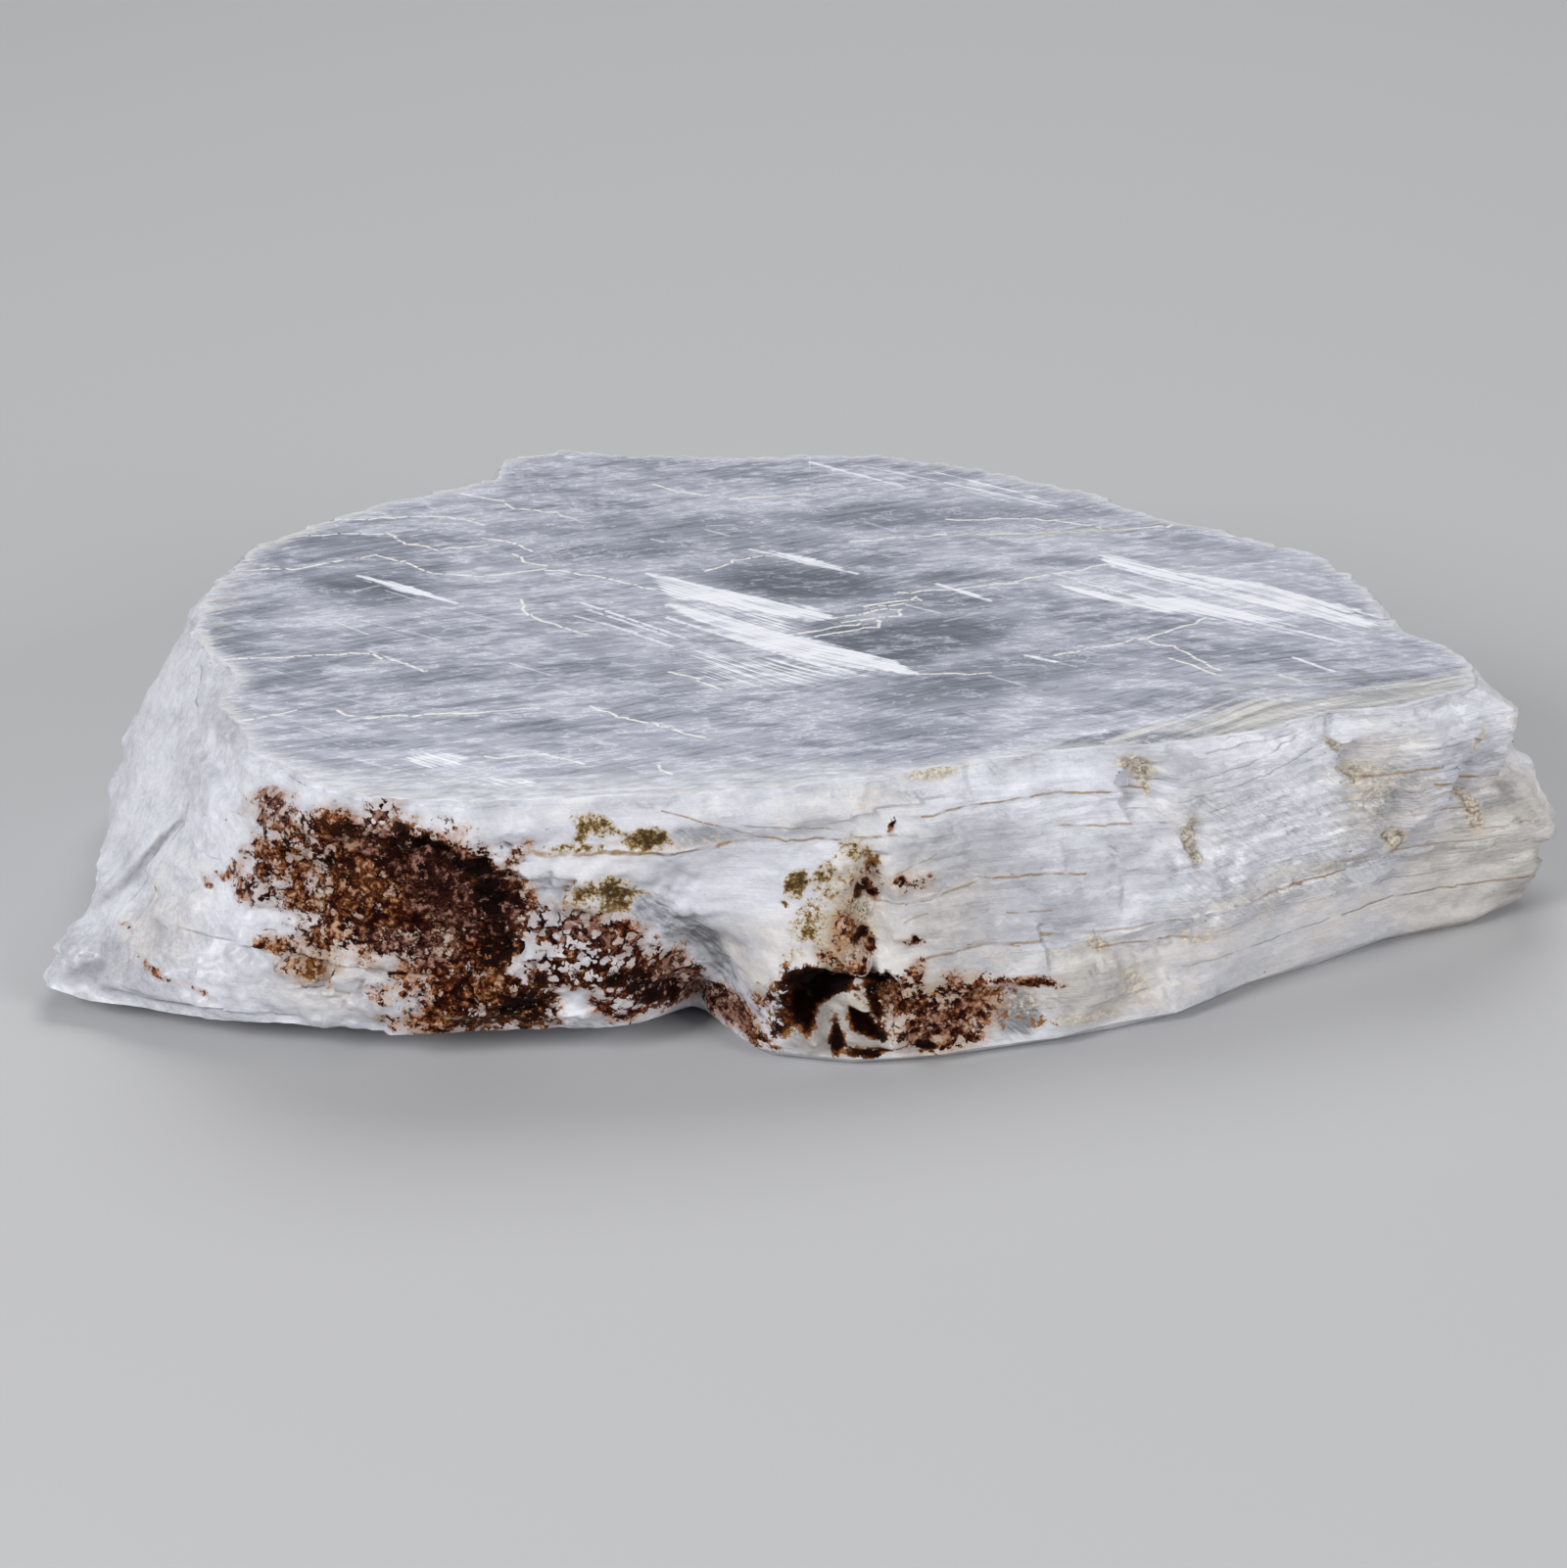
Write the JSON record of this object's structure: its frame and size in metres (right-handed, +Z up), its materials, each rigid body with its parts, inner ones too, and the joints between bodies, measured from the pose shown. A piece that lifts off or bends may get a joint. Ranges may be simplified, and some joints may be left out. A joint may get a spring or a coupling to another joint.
{
  "type": "selenite (gypsum) slab specimen",
  "caption": "Loose mineral specimen: a thick slab split along two flat cleavage planes, with a rough, stepped and rust-stained broken edge; lies flat for display.",
  "frame": {"origin": "middle of the bounding box, on the plane that the slab rests on", "axes": "+Z up out of the top cleavage plane, +X along the slab's longest side towards its narrow end, -Y towards the rust-stained front of the edge"},
  "size_m": [0.2542, 0.1772, 0.046],
  "materials": {
    "selenite": "milky blue-grey to white crystal; glossy, pearly cleavage plane on top, silky broken edge with rust-brown iron stains"
  },
  "bodies": {
    "root": {"selenite_slab": "selenite"}
  },
  "joints": []
}
